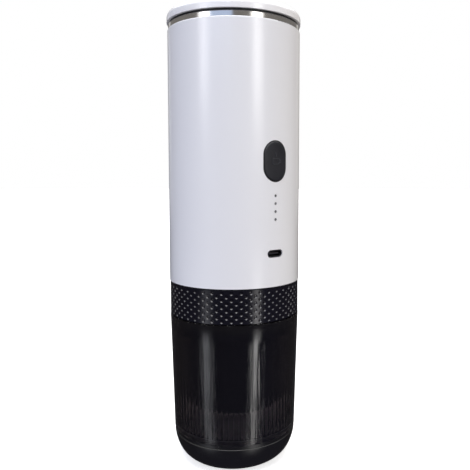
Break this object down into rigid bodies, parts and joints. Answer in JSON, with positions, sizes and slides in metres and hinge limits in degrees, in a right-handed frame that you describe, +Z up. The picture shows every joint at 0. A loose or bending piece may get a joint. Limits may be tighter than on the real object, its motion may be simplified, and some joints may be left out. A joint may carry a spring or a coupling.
{
  "type": "portable electric espresso maker",
  "caption": "Slim upright battery espresso maker: screw lid and tank on top, tube body with push button, dimpled collar and fluted cup below.",
  "frame": {"origin": "centre of the cup's foot, on the surface that the maker stands on", "axes": "+Z up along the round body; the power button, indicators and charging port face -Y; +X to their right"},
  "size_m": [0.0706, 0.0706, 0.2381],
  "materials": {
    "white_shell": "satin",
    "lid_inner": "satin",
    "dark_silicone": "matte",
    "hose_silicone": "satin",
    "polished_steel": "polished",
    "satin_steel": "satin",
    "heater_aluminium": "satin",
    "button_charcoal": "satin",
    "collar_black": "satin",
    "chamber_black": "satin",
    "smoke_clear": "gloss",
    "frame_grey": "satin",
    "cell_wrap": "satin",
    "cell_nickel": "satin",
    "board_green": "satin",
    "chip_black": "matte",
    "clear_lens": "gloss",
    "wire_sheath": "satin",
    "gear_brass": "satin",
    "pump_plastic": "satin"
  },
  "bodies": {
    "housing": {"water_tank": "polished_steel", "tank_floor": "polished_steel", "heater_plate": "heater_aluminium", "temperature_sensor": "clear_lens", "thermal_fuse": "satin_steel", "heat_shield": "frame_grey", "tie_rods": "satin_steel", "feed_tube": "hose_silicone", "housing_tube": "white_shell", "button_seal": "dark_silicone", "switch_case": "chip_black", "light_pipe": "clear_lens", "indicator_leds": "clear_lens", "usb_socket": "satin_steel", "control_board": "board_green", "board_components": "chip_black", "heater_leads": "wire_sheath", "motor_leads": "wire_sheath", "upper_frame": "frame_grey", "lower_frame": "frame_grey", "frame_standoffs": "satin_steel", "cell_links": "cell_nickel", "motor_can": "satin_steel", "pump_body": "pump_plastic", "pump_cover": "pump_plastic", "outlet_valve": "gear_brass", "brew_base": "chamber_black", "base_screws": "satin_steel", "group_gasket": "dark_silicone", "shower_screen": "polished_steel", "screen_screw": "satin_steel", "battery_cell_1": "cell_wrap", "battery_cell_2": "cell_wrap", "battery_cell_3": "cell_wrap"},
    "lid_gasket": {"lid_seal": "dark_silicone"},
    "lid": {"lid_cap": "white_shell", "lid_plug": "lid_inner", "plug_skirt": "lid_inner"},
    "brew_head": {"brew_chamber": "chamber_black", "chamber_funnel": "chamber_black", "outlet_nozzle": "chamber_black", "cup_spigot": "chamber_black", "cup_grip_ring": "dark_silicone", "coffee_basket": "polished_steel"},
    "collar": {"brew_collar": "collar_black"},
    "cup": {"cup": "smoke_clear", "cup_base": "smoke_clear"},
    "button": {"power_button": "button_charcoal", "switch_plunger": "button_charcoal"},
    "rotor": {"motor_shaft": "satin_steel", "motor_pinion": "gear_brass"},
    "pump_drive": {"drive_gear": "gear_brass", "pump_shaft": "satin_steel", "pump_gear_driving": "satin_steel"},
    "pump_idler": {"idler_shaft": "satin_steel", "pump_gear_driven": "satin_steel"}
  },
  "joints": [
    {"name": "lid_lift", "type": "slide", "parent": "housing", "child": "lid_gasket", "axis": [0, 0, 1], "range_m": [0, 0.008]},
    {"name": "lid_turn", "type": "hinge", "parent": "lid_gasket", "child": "lid", "pos_m": [0, 0, 0.2325], "axis": [0, 0, 1], "range_deg": [0, 722]},
    {"name": "head_drop", "type": "slide", "parent": "housing", "child": "brew_head", "axis": [0, 0, -1], "range_m": [0, 0.011]},
    {"name": "collar_turn", "type": "hinge", "parent": "brew_head", "child": "collar", "pos_m": [0, 0, 0.0886], "axis": [0, 0, -1], "range_deg": [0, 722]},
    {"name": "cup_pull", "type": "slide", "parent": "brew_head", "child": "cup", "axis": [0, 0, -1], "range_m": [0, 0.062]},
    {"name": "button_press", "type": "slide", "parent": "housing", "child": "button", "axis": [0, 1, 0], "range_m": [0, 0.0005], "stiffness_N_per_m": 1200, "springref_m": -0.0008},
    {"name": "pump_spin", "type": "hinge", "parent": "housing", "child": "pump_drive", "pos_m": [0.0095, 0, 0.1057], "axis": [0, 0, 1], "continuous": true},
    {"name": "motor_spin", "type": "hinge", "parent": "housing", "child": "rotor", "pos_m": [0, 0, 0.1094], "axis": [0, 0, 1], "continuous": true},
    {"name": "idler_spin", "type": "hinge", "parent": "housing", "child": "pump_idler", "pos_m": [0.0095, 0.008, 0.1043], "axis": [0, 0, 1], "continuous": true}
  ],
  "couplings": [
    {"joint": "lid_turn", "follows": "lid_lift", "rad_per_m": 1570.8},
    {"joint": "collar_turn", "follows": "head_drop", "rad_per_m": 1142.4},
    {"joint": "motor_spin", "follows": "pump_spin", "ratio": -2.8},
    {"joint": "idler_spin", "follows": "pump_spin", "ratio": -1}
  ]
}
